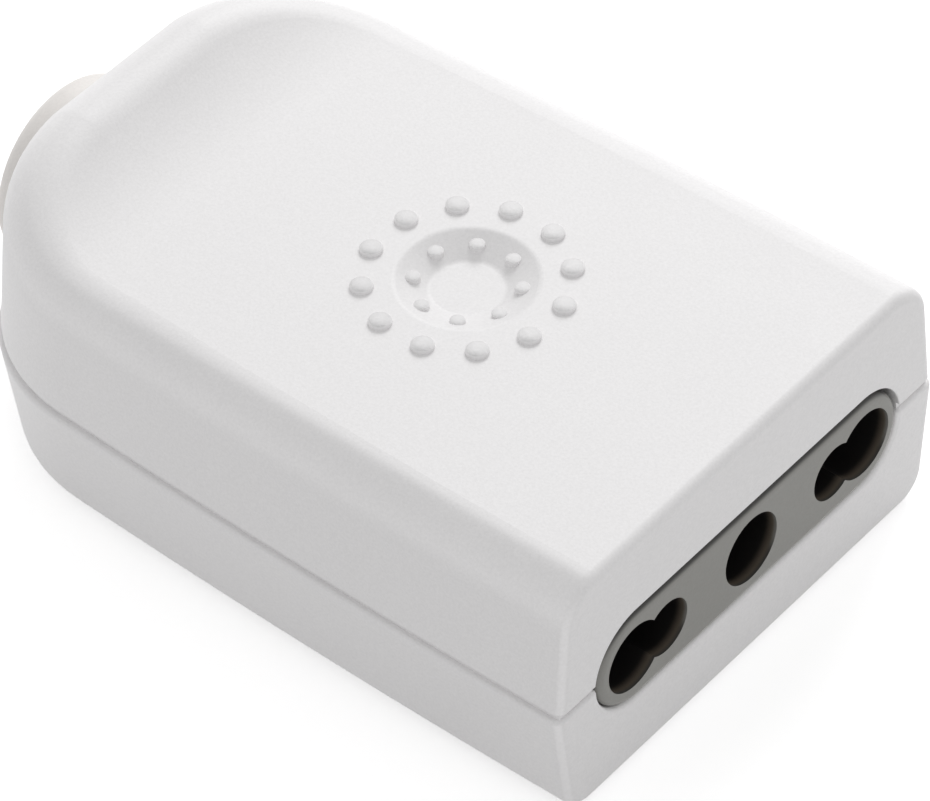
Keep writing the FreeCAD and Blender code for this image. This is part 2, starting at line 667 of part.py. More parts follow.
def make_terminal(name, x, hole):
    """Brass block on a contact's tail, with a hole for the wire and one for its screw."""
    body = new_body(f"{name}_terminal")
    base = plan_sketch(body, "base_outline")
    rectangle(base, "-dims.block_width / 2", "dims.block_width / 2", "0", "dims.block_length")
    pad(body, "block", base, "dims.block_height")
    wire = front_sketch(body, "wire_outline")
    circles(wire, ("0", "dims.block_height / 2", "dims.wire_bore / 2"))
    pocket(body, "wire_hole", wire, "dims.block_length")
    thread = plan_sketch(body, "thread_outline", "dims.block_height")
    circles(thread, ("0", "dims.block_length / 2", "dims.screw_radius + dims.fit"))
    pocket(body, "thread", thread, "dims.block_height / 2")
    place(body, x, BLOCK_FRONT, BLOCK_BASE)


def make_screw(label, shank, x, y, z, head_down=False):
    """Cheese-headed screw with a driver slot; its own origin is under the head."""
    body = new_body(label)
    way = "-" if head_down else ""
    profile = side_sketch(body, "profile")
    corners = [
        ("0", f"{way}(-({shank}))"),
        ("dims.screw_radius", f"{way}(-({shank}))"),
        ("dims.screw_radius", "0"),
        ("dims.screw_head", "0"),
        ("dims.screw_head", f"{way}(dims.head_height)"),
        ("0", f"{way}(dims.head_height)"),
    ]
    outline(profile, corners[::-1] if head_down else corners)
    turned(body, "turned", profile, "V_Axis")
    slot = plan_sketch(body, "slot_outline", f"{way}(dims.head_height)")
    half = "dims.slot_width / 2"
    rectangle(slot, "-2 * dims.screw_head", "2 * dims.screw_head", f"-{half}", half)
    pocket(body, "slot", slot, "dims.slot_depth", head_down)
    place(body, x, y, z)


def make_clamp():
    """Arched strip that holds the cable down between two screws."""
    body = new_body("cable_clamp")
    feet_top = f"({CLAMP_FEET} + dims.clamp_thick)"
    end = f"({CLAMP_SIDE} + dims.screw_head)"
    inner_x = f"sqrt({CLAMP_INNER}^2 - dims.clamp_drop^2)"
    outer_x = f"sqrt({CLAMP_OUTER}^2 - {feet_top}^2)"
    profile = front_sketch(body, "profile", CLAMP_BACK)
    outline(profile, [
        (inner_x, CLAMP_FEET),
        (end, CLAMP_FEET),
        (end, feet_top),
        (outer_x, feet_top, ("0", "0", "left")),
        (f"-{outer_x}", feet_top),
        (f"-{end}", feet_top),
        (f"-{end}", CLAMP_FEET),
        (f"-{inner_x}", CLAMP_FEET, ("0", "0", "right")),
    ])
    pad(body, "arch", profile, "dims.clamp_length")
    screw_holes(body, "screw_holes", CLAMP_SPOTS, "dims.screw_radius + dims.fit", CLAMP_FEET, feet_top)
    place(body)


def make_collar():
    """Round collar in the rear wall that the cable leaves by."""
    body = new_body("cable_collar")
    bore = "dims.cable_bore / 2"
    end = OVERALL
    shoulder = "dims.collar_radius - dims.collar_edge"
    profile = side_sketch(body, "profile")
    outline(profile, [
        (COLLAR_FRONT, bore),
        (end, bore),
        (end, shoulder, (f"{end} - dims.collar_edge", shoulder, "left")),
        (f"{end} - dims.collar_edge", "dims.collar_radius"),
        (NECK_BACK, "dims.collar_radius"),
        (NECK_BACK, "dims.collar_neck"),
        (NECK_FRONT, "dims.collar_neck"),
        (NECK_FRONT, "dims.collar_neck + dims.collar_lip"),
        (COLLAR_FRONT, "dims.collar_neck + dims.collar_lip"),
    ])
    turned(body, "turned", profile, "H_Axis")
    place(body)


def build():
    """Model every sub-part."""
    fill_sheet()
    make_upper_shell()
    make_lower_shell()
    make_insert()
    for name, x, hole in TERMINALS:
        make_contact(name, x, hole)
        make_contact_spring(name, x, hole)
        make_terminal(name, x, hole)
        make_screw(f"{name}_terminal_screw", "dims.block_height / 2", x,
                   f"({BLOCK_FRONT} + dims.block_length / 2)", BLOCK_TOP)
    make_clamp()
    for side, (x, y) in zip(("right", "left"), CLAMP_SPOTS):
        make_screw(f"clamp_screw_{side}", "dims.clamp_thick + dims.clamp_bite", x, y,
                   f"({CLAMP_FEET} + dims.clamp_thick)")
    for side, (x, y) in zip(("right", "left"), BOSS_SPOTS):
        make_screw(f"shell_screw_{side}", f"dims.screw_bite - {HEAD_SEAT}", x, y, HEAD_SEAT, True)
    make_collar()
    doc.recompute()


def check():
    """Stop if any object failed or any sub-part isn't one valid solid."""
    for item in doc.Objects:
        if "Invalid" in item.State or "Error" in item.State:
            raise RuntimeError(f"{item.Label} failed: {item.State}")
    for body in sub_parts:
        shape = body.Shape
        if shape.isNull() or not shape.isValid() or len(shape.Solids) != 1:
            raise RuntimeError(f"{body.Label} is not one valid solid")


def write():
    """Write each sub-part to its own STEP file."""
    os.makedirs("parts", exist_ok=True)
    for body in sub_parts:
        body.Shape.exportStep(os.path.join("parts", f"{body.Label}.step"))


build()
check()
write()
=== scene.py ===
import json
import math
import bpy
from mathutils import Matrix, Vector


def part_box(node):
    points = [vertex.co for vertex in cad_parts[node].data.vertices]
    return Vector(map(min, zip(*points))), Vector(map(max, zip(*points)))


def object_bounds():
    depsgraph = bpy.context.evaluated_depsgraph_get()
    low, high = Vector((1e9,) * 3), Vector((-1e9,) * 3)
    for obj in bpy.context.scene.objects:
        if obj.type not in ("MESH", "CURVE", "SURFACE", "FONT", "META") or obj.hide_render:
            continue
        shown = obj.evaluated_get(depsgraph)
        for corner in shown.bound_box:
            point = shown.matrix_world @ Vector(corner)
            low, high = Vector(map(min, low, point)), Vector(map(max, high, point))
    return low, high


bl_info = {
    "name": "In-line power socket",
    "version": (1, 0, 0),
    "blender": (4, 5, 0),
    "location": "View3D > Sidebar > Socket",
    "description": "Finishes an in-line power socket and its studio",
    "category": "Object",
}

import bpy
from bpy.props import FloatProperty, FloatVectorProperty, PointerProperty
from mathutils import Matrix, Vector

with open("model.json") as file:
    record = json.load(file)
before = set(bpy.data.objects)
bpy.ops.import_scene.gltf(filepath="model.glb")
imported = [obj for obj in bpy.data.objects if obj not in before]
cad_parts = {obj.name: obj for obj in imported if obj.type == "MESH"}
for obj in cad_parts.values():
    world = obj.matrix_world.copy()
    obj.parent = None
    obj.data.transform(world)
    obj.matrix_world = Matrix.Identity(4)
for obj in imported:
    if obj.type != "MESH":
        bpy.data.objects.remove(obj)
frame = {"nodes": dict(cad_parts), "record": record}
cad_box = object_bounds()

MM = 0.001

# Camera of the photograph, about the middle of the socket
VIEW_AIM = Vector((-0.959, -7.450, 10.2)) * MM
VIEW_DISTANCE = 425.99 * MM
VIEW_AZIMUTH = math.radians(-48.789)
VIEW_ELEVATION = math.radians(44.636)
VIEW_ROLL = math.radians(-2.267)
VIEW_FOCAL_PIXELS = 5974.4
IMAGE_WIDTH = 930
SENSOR_WIDTH = 36.0
VIEW_CLIP = 4.0 * MM

# Soft lamp on the right, towards the rear
LAMP_AZIMUTH = math.radians(116)
LAMP_ELEVATION = math.radians(39)
LAMP_DISTANCE = 0.6
LAMP_SIZE = 0.3

# Floor just under the socket
FLOOR_HALF = 3.0
FLOOR_DROP = 0.05 * MM
FLOOR_ROUGHNESS = 0.9

# Thumb dish: its middle's distance from the front face, its rim's radius, and a height under its floor
DISH_PLACE = 25.2 * MM
DISH_RIM = 5.2 * MM
DISH_BOTTOM = 20.2 * MM
DISH_CENTRE = (0.0, cad_box[0][1] + DISH_PLACE, 0.0)

# Rings of raised dots about the dish: ring's radius, dot's radius, count and first dot's angle
DOT_RINGS = (
    (7.45 * MM, 0.86 * MM, 12, math.radians(15.0)),
    (3.92 * MM, 0.57 * MM, 8, math.radians(29.5)),
)

# Rounded top edge of the upper shell: width, turn at its inside, rear corners in plan, heights it begins at
EDGE_WIDTH = 4.05 * MM
EDGE_TURN = 1.1 * MM
REAR_CORNER = 14.0 * MM
EDGE_LOW = 15.0 * MM
EDGE_HIGH = 17.0 * MM

# Width of the painted highlight on the upright corners of the front face
CORNER_HIGHLIGHT_WIDTH = 1.2 * MM

# Pin holes of the insert, how far past a hole's radius the painted shade on its wall reaches, and the way
# that the painted highlight on the insert's lower edge faces
PIN_HOLES = [mount for mount in frame["record"]["mounts"] if "pin_hole" in mount["name"]]
WALL_MARGIN = 0.04 * MM
LOW_HIGHLIGHT_WAY = (0.5, 0.0, -0.85)

# Where a finish, a painted light or a painted shade begins and where it is whole: in radii of a dot, in
# depths of a mouth, or on a normal
DOT_TOP = (0.98, 0.84)
MOUTH_WALL = (0.0, 0.4)
INNER_WALL = (0.25, 1.0)
EDGE_RISE = (0.1, 0.5)
EDGE_OFF_FRONT = (-0.7, -0.2)
CORNER_HIGHLIGHT_SLANT = (0.25, 0.5)
LOW_HIGHLIGHT_LEAN = (0.1, 0.8)
TOP_SHADOW_RISE = (0.3, 0.75)

# Grain and clouds of the plastic: clouds in a metre, and how far they change tone and roughness
CLOUD_SCALE = 130.0
CLOUD_TONE = 0.05
CLOUD_ROUGHNESS = 0.16
GRAIN_TONE = 0.15

# Stains and streaks of the metal: stains in a metre, tone, changes, and the streaks' stretch and depth
STAIN_SCALE = 700.0
METAL_TONE = 0.95
STAIN_TONE = 0.3
STREAK_ROUGHNESS = 0.25
STREAK_STRETCH = (1.0, 0.08, 1.0)
STREAK_DEPTH = 0.002 * MM

# Parts of a vector that count seen from above and from the front, and a number beyond any distance
FROM_ABOVE = (1.0, 1.0, 0.0)
FROM_FRONT = (1.0, 0.0, 1.0)
FAR = 10.0

# Largest change in brightness, up or down, that a user may set
LARGEST_CHANGE = 0.15

SHELLS = ("upper_shell", "lower_shell")
PHASES = ("line", "neutral", "earth")
BRASS_PIECES = [f"{phase}_{part}" for phase in PHASES for part in ("contact", "terminal")]
SPRING_PIECES = [f"{phase}_contact_spring" for phase in PHASES]
SCREW_PIECES = [f"{phase}_terminal_screw" for phase in PHASES]
SCREW_PIECES += [f"{use}_screw_{side}" for use in ("clamp", "shell") for side in ("right", "left")]


def colour_property(name, description, default):
    """Colour that a user may change."""
    return FloatVectorProperty(name=name, description=description, subtype="COLOR", size=3,
                               min=0.0, max=1.0, default=default)


def length_property(name, description, default):
    """Length in metres that a user may change."""
    return FloatProperty(name=name, description=description, subtype="DISTANCE", unit="LENGTH",
                         min=0.0, precision=5, default=default)


def share_property(name, description, default):
    """Number from nought to one that a user may change."""
    return FloatProperty(name=name, description=description, subtype="FACTOR", min=0.0, max=1.0,
                         default=default)


def change_property(name, description, default):
    """Small change, up or down, that a user may make."""
    return FloatProperty(name=name, description=description, subtype="FACTOR", min=-LARGEST_CHANGE,
                         max=LARGEST_CHANGE, default=default)


class SOCKET_PG_plastic(bpy.types.PropertyGroup):
    """Colours and grain of the moulded pieces, with the painted light and shade on them."""

    casing: colour_property("Casing", "Colour of both shells", (0.848, 0.837, 0.84))
    insert: colour_property("Insert", "Colour of the face with the pin holes", (0.26, 0.256, 0.239))
    # Painted highlight: the insert's lower edge is given a paler colour.
    insert_edge_highlight: colour_property("Insert edge", "Colour of the insert's lower edge", (0.41, 0.4, 0.38))
    # Painted shadow: the insert's upper edge, under the casing, is given a near-black colour.
    insert_top_shadow: colour_property("Insert top", "Colour of the insert's upper edge, under the casing",
                                (0.058, 0.056, 0.053))
    # Painted shade: the pin holes' walls are darkened, brownish near the face and nearly black further in,
    # past the mouth depth.
    hole_mouth_shade: colour_property("Hole mouth", "Colour of the pin holes' walls near the face",
                                (0.115, 0.093, 0.07))
    hole_inside_shade: colour_property("Hole inside", "Colour of the pin holes' walls further in",
                                 (0.004, 0.003, 0.003))
    mouth_depth: length_property("Mouth depth", "Depth at which the pin holes turn dark", 1.05 * MM)
    collar: colour_property("Collar", "Colour of the cable collar", (0.815, 0.785, 0.76))
    clamp: colour_property("Clamp", "Colour of the cable clamp", (0.8, 0.8, 0.79))
    grain: length_property("Grain", "Width of the moulded grain", 0.22 * MM)
    depth: length_property("Grain depth", "Height of the moulded grain", 0.008 * MM)
    roughness: share_property("Roughness", "Roughness of the moulded pieces", 0.5)
    bevel: share_property("Bevel", "How flat the rounded top edge looks", 0.4)
    # Painted highlight: the casing's colour is made lighter along the rounded top edge.
    edge_painted_highlight: change_property("Edge tone", "Change in brightness along the rounded top edge", 0.08)
    # Painted highlight: the casing's colour is made lighter along the front face's upright corners.
    corner_painted_highlight: change_property("Corner tone", "Change in brightness along the front corners", 0.1)
    dish_slope: share_property("Dish slope", "How steep the thumb dish looks", 0.35)
    # Painted shade: the casing's colour is made darker on the raised dots.
    dot_painted_shade: change_property("Dot tone", "Change in brightness on the raised dots", -0.14)
    dot_flatness: share_property("Dot flatness", "How flat the raised dots look", 0.96)
    dot_polish: share_property("Dot polish", "Roughness of the raised dots beside the casing's", 0.65)


class SOCKET_PG_metal(bpy.types.PropertyGroup):
    """Colours and marks of the metal pieces."""

    brass: colour_property("Brass", "Colour of the contacts and terminals", (0.5, 0.36, 0.16))
    spring: colour_property("Spring", "Colour of the contact springs", (0.55, 0.55, 0.54))
    screw: colour_property("Screw", "Colour of the screws", (0.66, 0.66, 0.62))
    streak: length_property("Streak", "Width of the marks of rolling and turning", 0.06 * MM)
    roughness: share_property("Roughness", "Roughness of the metal pieces", 0.32)


class SOCKET_PG_studio(bpy.types.PropertyGroup):
    """Floor and light."""

    floor: colour_property("Floor", "Colour of the floor", (0.845, 0.845, 0.845))
    floor_glow: share_property("Floor glow", "White added to the floor where it is seen", 0.5)
    lamp: FloatProperty(name="Lamp", description="Power of the soft lamp on the right", unit="POWER",
                        min=0.0, default=1.57)
    sky: share_property("Room light", "Strength of the even light of the room", 0.65)


def new_group(name, inputs, outputs):
    """Empty shader group with float and colour sockets, and its two end nodes."""
    tree = bpy.data.node_groups.new(name, "ShaderNodeTree")
    kinds = {"colour": "NodeSocketColor", "float": "NodeSocketFloat"}
    for way, sockets in (("INPUT", inputs), ("OUTPUT", outputs)):
        for label, kind in sockets.items():
            tree.interface.new_socket(label, in_out=way, socket_type=kinds[kind])
    return tree, tree.nodes.new("NodeGroupInput"), tree.nodes.new("NodeGroupOutput")


def add_node(tree, kind, operation=None, **values):
    """Node with its operation and the values of its sockets set."""
    item = tree.nodes.new(kind)
    if operation:
        item.operation = operation
    for label, value in values.items():
        item.inputs[label].default_value = value
    return item


def math_of(tree, operation, *values):
    """Result of an operation on values, each of which is a socket to link or a number."""
    item = add_node(tree, "ShaderNodeMath", operation)
    for socket, value in zip(item.inputs, values):
        if isinstance(value, (int, float)):
            socket.default_value = value
        else:
            tree.links.new(value, socket)
    return item.outputs[0]


def vector_of(tree, operation, first, second=None):
    """Result of an operation on vectors, of which the second is a plain one."""
    item = add_node(tree, "ShaderNodeVectorMath", operation)
    tree.links.new(first, item.inputs[0])
    if second is not None:
        item.inputs[1].default_value = second
    return item.outputs["Value" if operation in ("LENGTH", "DOT_PRODUCT") else "Vector"]


def axes_of(tree, vector):
    """X, Y and Z of a vector."""
    item = add_node(tree, "ShaderNodeSeparateXYZ")
    tree.links.new(vector, item.inputs[0])
    return item.outputs


def noise(tree, place, scale, detail, roughness):
    """Noise texture at a place; its scale is a socket to link or a number."""
    item = add_node(tree, "ShaderNodeTexNoise", Detail=detail, Roughness=roughness)
    tree.links.new(place, item.inputs["Vector"])
    if isinstance(scale, float):
        item.inputs["Scale"].default_value = scale
    else:
        tree.links.new(scale, item.inputs["Scale"])
    return item.outputs["Fac"]


def scaled(tree, vector, share):
    """Vector or colour multiplied by a share."""
    item = add_node(tree, "ShaderNodeVectorMath", "SCALE")
    tree.links.new(vector, item.inputs[0])
    tree.links.new(share, item.inputs["Scale"])
    return item.outputs[0]


def ramp_between(tree, value, start, end):
    """Smooth step of a value from nought at the start to one at the end."""
    step = add_node(tree, "ShaderNodeMapRange", **{"From Min": start, "From Max": end})
    step.interpolation_type = "SMOOTHSTEP"
    tree.links.new(value, step.inputs["Value"])
    return step.outputs["Result"]


def mix_colours(tree, share, first, second):
    """Mix of two colours, of which the second is a plain one."""
    mix = tree.nodes.new("ShaderNodeMix")
    mix.data_type = "RGBA"
    tree.links.new(share, mix.inputs["Factor"])
    tree.links.new(first, mix.inputs["A"])
    mix.inputs["B"].default_value = (*second, 1.0)
    return mix.outputs["Result"]


def object_place(tree):
    """Place on the piece, in metres of the part's frame."""
    return add_node(tree, "ShaderNodeTexCoord").outputs["Object"]


def varied(tree, value, pattern, amount):
    """Value that a pattern makes larger and smaller, by half of an amount each way."""
    change = math_of(tree, "MULTIPLY_ADD", pattern, amount, -amount / 2)
    return math_of(tree, "ADD", change, value)


def moulded_group(name):
    """Moulded plastic: fine grain, faint clouding of the colour, and uneven roughness."""
    tree, start, end = new_group(
        name,
        {"Colour": "colour", "Grain": "float", "Roughness": "float"},
        {"Colour": "colour", "Roughness": "float", "Height": "float"})
    place = object_place(tree)
    fineness = math_of(tree, "DIVIDE", 1.0, start.outputs["Grain"])
    grain = noise(tree, place, fineness, detail=2.0, roughness=0.6)
    cloud = noise(tree, place, CLOUD_SCALE, detail=3.0, roughness=0.55)
    tone = varied(tree, varied(tree, 1.0, cloud, CLOUD_TONE), grain, GRAIN_TONE)
    rough = varied(tree, start.outputs["Roughness"], cloud, CLOUD_ROUGHNESS)
    tree.links.new(scaled(tree, start.outputs["Colour"], tone), end.inputs["Colour"])
    tree.links.new(rough, end.inputs["Roughness"])
    tree.links.new(grain, end.inputs["Height"])
    return tree


def worked_group(name):
    """Rolled or turned metal: streaks along one way, small stains, and uneven roughness."""
    tree, start, end = new_group(
        name,
        {"Colour": "colour", "Streak": "float", "Roughness": "float"},
        {"Colour": "colour", "Roughness": "float", "Height": "float"})
    place = object_place(tree)
    drawn_out = vector_of(tree, "MULTIPLY", place, STREAK_STRETCH)
    fineness = math_of(tree, "DIVIDE", 1.0, start.outputs["Streak"])
    streaks = noise(tree, drawn_out, fineness, detail=3.0, roughness=0.6)
    stains = noise(tree, place, STAIN_SCALE, detail=4.0, roughness=0.6)
    tone = varied(tree, METAL_TONE, stains, STAIN_TONE)
    rough = varied(tree, start.outputs["Roughness"], streaks, STREAK_ROUGHNESS)
    tree.links.new(scaled(tree, start.outputs["Colour"], tone), end.inputs["Colour"])
    tree.links.new(rough, end.inputs["Roughness"])
    tree.links.new(streaks, end.inputs["Height"])
    return tree


def shared_group(name, build):
    """Shader group by its name, built when it is first needed."""
    return bpy.data.node_groups.get(name) or build(name)


def finished_material(name, group, colour, size_label, size, depth, roughness, metallic):
    """Principled material whose colour, roughness and bump come from a shared group."""
    material = bpy.data.materials.new(name)
    material.use_nodes = True
    tree = material.node_tree
    shader = tree.nodes["Principled BSDF"]
    shader.inputs["Metallic"].default_value = metallic
    finish = tree.nodes.new("ShaderNodeGroup")
    finish.node_tree = group
    finish.inputs["Colour"].default_value = (*colour, 1.0)
    finish.inputs[size_label].default_value = size
    finish.inputs["Roughness"].default_value = roughness
    bump = add_node(tree, "ShaderNodeBump", Strength=1.0, Distance=depth)
    tree.links.new(finish.outputs["Height"], bump.inputs["Height"])
    tree.links.new(finish.outputs["Colour"], shader.inputs["Base Color"])
    tree.links.new(finish.outputs["Roughness"], shader.inputs["Roughness"])
    tree.links.new(bump.outputs["Normal"], shader.inputs["Normal"])
    return material


def plastic(name, colour, settings):
    """Moulded plastic of one colour."""
    group = shared_group("moulded_surface", moulded_group)
    return finished_material(name, group, colour, "Grain", settings.grain, settings.depth,
                             settings.roughness, metallic=0.0)


def metal(name, colour, settings):
    """Worked metal of one colour."""
    group = shared_group("worked_metal", worked_group)
    return finished_material(name, group, colour, "Streak", settings.streak, STREAK_DEPTH,
                             settings.roughness, metallic=1.0)


def dish_at(tree, place):
    """One in the thumb dish and nought beside it."""
    across = vector_of(tree, "MULTIPLY", vector_of(tree, "SUBTRACT", place, DISH_CENTRE), FROM_ABOVE)
    within = math_of(tree, "LESS_THAN", vector_of(tree, "LENGTH", across), DISH_RIM)
    above = math_of(tree, "GREATER_THAN", axes_of(tree, place)["Z"], DISH_BOTTOM)
    return math_of(tree, "MULTIPLY", within, above)


def dot_distance(tree, place):
    """Distance from the middle of the nearest raised dot, in radii of that dot."""
    across = axes_of(tree, vector_of(tree, "SUBTRACT", place, DISH_CENTRE))
    reach = math_of(tree, "SQRT", math_of(tree, "MULTIPLY_ADD", across["X"], across["X"],
                                          math_of(tree, "MULTIPLY", across["Y"], across["Y"])))
    angle = math_of(tree, "ARCTAN2", across["Y"], across["X"])
    nearest = FAR
    for ring, radius, count, turn in DOT_RINGS:
        half = math.pi / count
        aside = math_of(tree, "WRAP", math_of(tree, "SUBTRACT", angle, turn), half, -half)
        along = math_of(tree, "MULTIPLY_ADD", math_of(tree, "COSINE", aside), reach, -ring)
        sideways = math_of(tree, "MULTIPLY", math_of(tree, "SINE", aside), reach)
        away = math_of(tree, "SQRT", math_of(tree, "MULTIPLY_ADD", along, along,
                                             math_of(tree, "MULTIPLY", sideways, sideways)))
        nearest = math_of(tree, "MINIMUM", math_of(tree, "DIVIDE", away, radius), nearest)
    below = math_of(tree, "LESS_THAN", across["Z"], DISH_BOTTOM)
    return math_of(tree, "MULTIPLY_ADD", below, FAR, nearest)


def edge_at(tree, place, normal):
    """One on the rounded top edge and nought beside it, and the way outwards there."""
    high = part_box("upper_shell")[1]
    axes = axes_of(tree, place)
    beside = math_of(tree, "SUBTRACT", math_of(tree, "ABSOLUTE", axes["X"]), high[0] - REAR_CORNER)
    beside = math_of(tree, "MAXIMUM", beside, 0.0)
    beside = math_of(tree, "MULTIPLY", beside, math_of(tree, "SIGN", axes["X"]))
    behind = math_of(tree, "SUBTRACT", axes["Y"], high[1] - REAR_CORNER)
    behind = math_of(tree, "MAXIMUM", behind, 0.0)
    outwards = add_node(tree, "ShaderNodeCombineXYZ")
    tree.links.new(beside, outwards.inputs["X"])
    tree.links.new(behind, outwards.inputs["Y"])
    inner = REAR_CORNER - EDGE_WIDTH
    edge = ramp_between(tree, vector_of(tree, "LENGTH", outwards.outputs[0]), inner, inner + EDGE_TURN)
    raised = ramp_between(tree, axes["Z"], EDGE_LOW, EDGE_HIGH)
    off_front = ramp_between(tree, axes_of(tree, normal)["Y"], *EDGE_OFF_FRONT)
    edge = math_of(tree, "MULTIPLY", math_of(tree, "MULTIPLY", edge, raised), off_front)
    return edge, vector_of(tree, "NORMALIZE", outwards.outputs[0])


def leaning(tree, normal, way, share):
    """Normal leant by a share towards another way."""
    total = add_node(tree, "ShaderNodeVectorMath", "ADD")
    tree.links.new(normal, total.inputs[0])
    tree.links.new(scaled(tree, way, share), total.inputs[1])
    return vector_of(tree, "NORMALIZE", total.outputs[0])


def flattened(tree, normal, share):
    """Normal turned upwards by a share of the whole way."""
    upwards = add_node(tree, "ShaderNodeCombineXYZ", Z=1.0).outputs[0]
    kept = scaled(tree, normal, math_of(tree, "SUBTRACT", 1.0, share))
    return leaning(tree, kept, upwards, share)


def in_world(tree, normal):
    """Normal of the piece in the world's axes."""
    turn = tree.nodes.new("ShaderNodeVectorTransform")
    turn.vector_type = "NORMAL"
    turn.convert_from = "OBJECT"
    turn.convert_to = "WORLD"
    tree.links.new(normal, turn.inputs[0])
    return turn.outputs[0]


def corner_highlight_at(tree, place, normal):
    """Where the painted highlight lies: one on the upright corners of the front face and nought beside
    them.
    """
    axes = axes_of(tree, normal)
    slant = math_of(tree, "ABSOLUTE", math_of(tree, "MULTIPLY", axes["X"], axes["Y"]))
    front = cad_box[0][1]
    ahead = ramp_between(tree, axes_of(tree, place)["Y"], front + 2 * CORNER_HIGHLIGHT_WIDTH, front + CORNER_HIGHLIGHT_WIDTH)
    return math_of(tree, "MULTIPLY", ramp_between(tree, slant, *CORNER_HIGHLIGHT_SLANT), ahead)


def casing_plastic(name, settings):
    """White plastic: bevelled top edge with a painted highlight, front corners with a painted highlight,
    steep dish, and smooth, flat dots with painted shade.
    """
    material = plastic(name, settings.casing, settings)
    tree = material.node_tree
    shader = tree.nodes["Principled BSDF"]
    place = object_place(tree)
    normal = add_node(tree, "ShaderNodeTexCoord").outputs["Normal"]
    edge, outwards = edge_at(tree, place, normal)
    bump = shader.inputs["Normal"].links[0].from_node
    leant = leaning(tree, normal, outwards, math_of(tree, "MULTIPLY", edge, settings.bevel))
    slope = vector_of(tree, "MULTIPLY", normal, FROM_ABOVE)
    dish = math_of(tree, "MULTIPLY", dish_at(tree, place), settings.dish_slope)
    leant = leaning(tree, leant, slope, dish)
    dots = ramp_between(tree, dot_distance(tree, place), *DOT_TOP)
    leant = flattened(tree, leant, math_of(tree, "MULTIPLY", dots, settings.dot_flatness))
    tree.links.new(in_world(tree, leant), bump.inputs["Normal"])
    # Painted light and shade: the colour is made lighter on the rounded top edge and the front corners, and
    # darker on the raised dots.
    rising = ramp_between(tree, axes_of(tree, normal)["Z"], *EDGE_RISE)
    painted_edge_highlight = math_of(tree, "MULTIPLY", edge, rising)
    tone = 1.0
    for share, change in ((dots, settings.dot_painted_shade), (painted_edge_highlight, settings.edge_painted_highlight),
                          (corner_highlight_at(tree, place, normal), settings.corner_painted_highlight)):
        tone = math_of(tree, "MULTIPLY_ADD", share, change, tone)
    colour = shader.inputs["Base Color"].links[0].from_socket
    tree.links.new(scaled(tree, colour, tone), shader.inputs["Base Color"])
    polish = math_of(tree, "MULTIPLY_ADD", dots, settings.dot_polish - 1.0, 1.0)
    rough = shader.inputs["Roughness"].links[0].from_socket
    tree.links.new(math_of(tree, "MULTIPLY", rough, polish), shader.inputs["Roughness"])
    return material


def hole_distance(tree, place):
    """Distance of a place from the nearest pin hole's wall, seen from the front."""
    nearest = FAR
    for mount in PIN_HOLES:
        offset = vector_of(tree, "SUBTRACT", place, mount["pos_m"])
        reach = vector_of(tree, "LENGTH", vector_of(tree, "MULTIPLY", offset, FROM_FRONT))
        beyond = math_of(tree, "SUBTRACT", reach, mount["dims"]["r_mm"] * MM)
        nearest = math_of(tree, "MINIMUM", beyond, nearest)
    return nearest


def insert_plastic(name, settings):
    """Grey plastic with a painted highlight along its lower edge, a painted shadow along its upper edge,
    and painted shade in the pin holes that deepens inwards.
    """
    material = plastic(name, settings.insert, settings)
    tree = material.node_tree
    shader = tree.nodes["Principled BSDF"]
    place = object_place(tree)
    normal = add_node(tree, "ShaderNodeTexCoord").outputs["Normal"]
    # Painted highlight along the insert's lower edge.
    low_edge_highlight = ramp_between(tree, vector_of(tree, "DOT_PRODUCT", normal, LOW_HIGHLIGHT_WAY), *LOW_HIGHLIGHT_LEAN)
    colour = shader.inputs["Base Color"].links[0].from_socket
    colour = mix_colours(tree, low_edge_highlight, colour, settings.insert_edge_highlight)
    # Painted shadow along the insert's upper edge, under the casing.
    top_edge_shadow = ramp_between(tree, axes_of(tree, normal)["Z"], *TOP_SHADOW_RISE)
    colour = mix_colours(tree, top_edge_shadow, colour, settings.insert_top_shadow)
    # Painted shade on the pin holes' walls, darker further in.
    hole_shade_mask = ramp_between(tree, hole_distance(tree, place), 2 * WALL_MARGIN, WALL_MARGIN)
    inwards = math_of(tree, "SUBTRACT", axes_of(tree, place)["Y"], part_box("socket_insert")[0][1])
    for shade, (start, end) in ((settings.hole_mouth_shade, MOUTH_WALL), (settings.hole_inside_shade, INNER_WALL)):
        depth = ramp_between(tree, inwards, start * settings.mouth_depth, end * settings.mouth_depth)
        colour = mix_colours(tree, math_of(tree, "MULTIPLY", hole_shade_mask, depth), colour, shade)
    tree.links.new(colour, shader.inputs["Base Color"])
    return material


def dress(nodes, material):
    """Give CAD nodes a material."""
    for name in nodes:
        mesh = frame["nodes"][name].data
        mesh.materials.clear()
        mesh.materials.append(material)


class SOCKET_OT_casing(bpy.types.Operator):
    """Finish both white shells"""

    bl_idname = "socket.casing"
    bl_label = "Casing"

    def execute(self, context):
        settings = context.scene.socket_plastic
        dress(SHELLS, casing_plastic("white_casing_finish", settings))
        return {"FINISHED"}


class SOCKET_OT_insert(bpy.types.Operator):
    """Finish the grey face with the pin holes"""

    bl_idname = "socket.insert"
    bl_label = "Insert"

    def execute(self, context):
        settings = context.scene.socket_plastic
        dress(["socket_insert"], insert_plastic("grey_insert_finish", settings))
        return {"FINISHED"}


class SOCKET_OT_collar(bpy.types.Operator):
    """Finish the cable collar"""

    bl_idname = "socket.collar"
    bl_label = "Collar"

    def execute(self, context):
        settings = context.scene.socket_plastic
        dress(["cable_collar"], plastic("cream_collar_finish", settings.collar, settings))
        return {"FINISHED"}


class SOCKET_OT_clamp(bpy.types.Operator):
    """Finish the cable clamp inside"""

    bl_idname = "socket.clamp"
    bl_label = "Clamp"

    def execute(self, context):
        settings = context.scene.socket_plastic
        dress(["cable_clamp"], plastic("clamp_finish", settings.clamp, settings))
        return {"FINISHED"}


